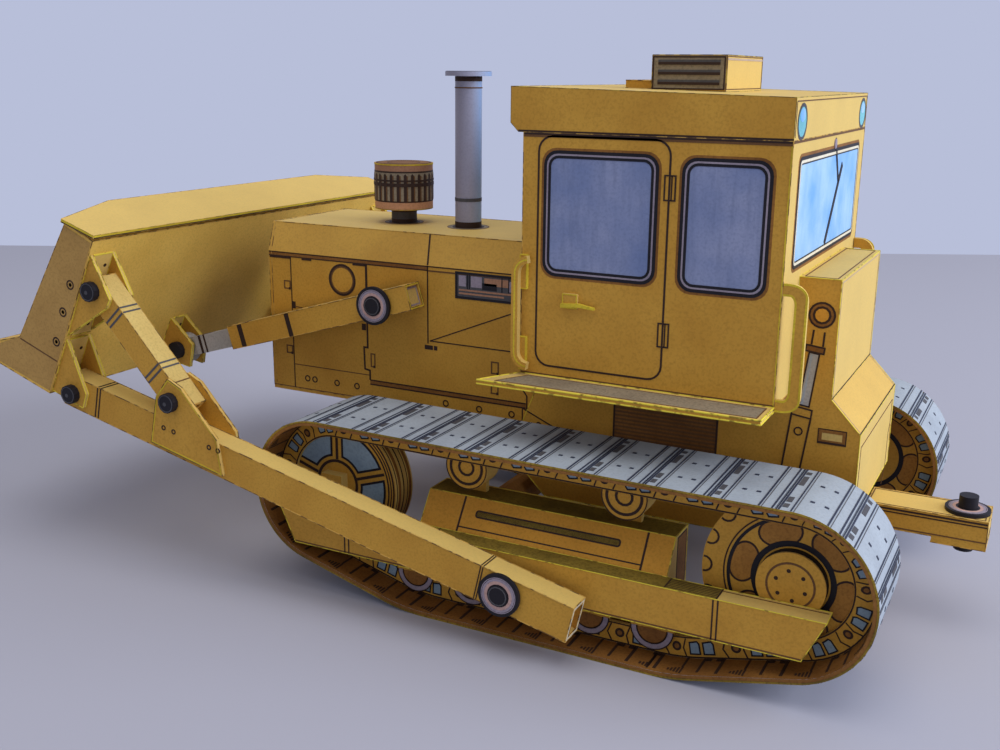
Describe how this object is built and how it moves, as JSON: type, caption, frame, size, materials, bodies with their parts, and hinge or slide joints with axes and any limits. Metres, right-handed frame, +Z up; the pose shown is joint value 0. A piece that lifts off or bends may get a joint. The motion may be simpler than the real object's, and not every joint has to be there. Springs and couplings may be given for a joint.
{
  "type": "card scale model of a crawler bulldozer",
  "caption": "Printed-card scale model of a crawler bulldozer with a square cab, a raised blade on push arms and struts, lift cylinders and a drawbar.",
  "frame": {"origin": "on the table, under the middle of the model's box", "axes": "+X forward to the blade, +Y to the left, +Z up"},
  "size_m": [0.1716, 0.0928, 0.088],
  "materials": {
    "ochre_card": "printed card, matt",
    "brown_card": "printed card, matt",
    "shoe_card": "printed card, matt",
    "grey_card": "printed card, matt",
    "black_pin": "blackened rolled paper, matt"
  },
  "bodies": {
    "chassis": {"hood_shell": "ochre_card", "hood_front": "ochre_card", "belly_plate": "ochre_card", "rear_body": "ochre_card", "cab_walls": "ochre_card", "cab_roof": "ochre_card", "cab_floor": "ochre_card", "roof_vent": "ochre_card", "roof_hatch": "ochre_card", "running_boards": "ochre_card", "handrails_front": "ochre_card", "handrails_rear": "ochre_card", "exhaust": "grey_card", "precleaner": "ochre_card", "drawbar": "ochre_card", "hitch_pin": "black_pin", "idlers": "brown_card", "sprockets": "brown_card", "carrier_rollers": "ochre_card", "lower_rollers": "grey_card", "cross_axles": "brown_card", "trunnions": "black_pin", "lift_pivots": "black_pin", "track_shoes_left": "shoe_card", "track_shoes_right": "shoe_card", "track_links_left": "brown_card", "track_links_right": "brown_card", "track_frame_left": "ochre_card", "track_frame_right": "ochre_card", "beam_left": "ochre_card", "beam_right": "ochre_card"},
    "blade_frame": {"blade_shell": "ochre_card", "blade_cover": "ochre_card", "cutting_edge": "ochre_card", "blade_brackets": "ochre_card", "blade_pins": "black_pin", "push_arm_left": "ochre_card", "push_arm_right": "ochre_card", "strut_left": "ochre_card", "strut_right": "ochre_card"},
    "lift_barrel_left": {"lift_barrel_left": "ochre_card"},
    "lift_barrel_right": {"lift_barrel_right": "ochre_card"},
    "lift_rod_left": {"lift_rod_left": "grey_card"},
    "lift_rod_right": {"lift_rod_right": "grey_card"}
  },
  "joints": [
    {"name": "blade_lift", "type": "hinge", "parent": "chassis", "child": "blade_frame", "pos_m": [-0.02278, 0, 0.0103], "axis": [0, -1, 0], "range_deg": [-17.5, 3]},
    {"name": "lift_pivot_left", "type": "hinge", "parent": "chassis", "child": "lift_barrel_left", "pos_m": [0.01542, 0.017, 0.0456], "axis": [0, -1, 0], "range_deg": [-23.6, 4.2]},
    {"name": "lift_slide_left", "type": "slide", "parent": "lift_barrel_left", "child": "lift_rod_left", "axis": [0.9595, 0, -0.2816], "range_m": [-0.0028, 0.015]},
    {"name": "lift_pivot_right", "type": "hinge", "parent": "chassis", "child": "lift_barrel_right", "pos_m": [0.01542, -0.017, 0.0456], "axis": [0, -1, 0], "range_deg": [-23.6, 4.2]},
    {"name": "lift_slide_right", "type": "slide", "parent": "lift_barrel_right", "child": "lift_rod_right", "axis": [0.9595, 0, -0.2816], "range_m": [-0.0028, 0.015]}
  ],
  "couplings": [
    {"joint": "lift_pivot_left", "follows": "blade_lift", "ratio": 1.3426},
    {"joint": "lift_slide_left", "follows": "blade_lift", "m_per_rad": -0.04824},
    {"joint": "lift_pivot_right", "follows": "blade_lift", "ratio": 1.3426},
    {"joint": "lift_slide_right", "follows": "blade_lift", "m_per_rad": -0.04824}
  ]
}
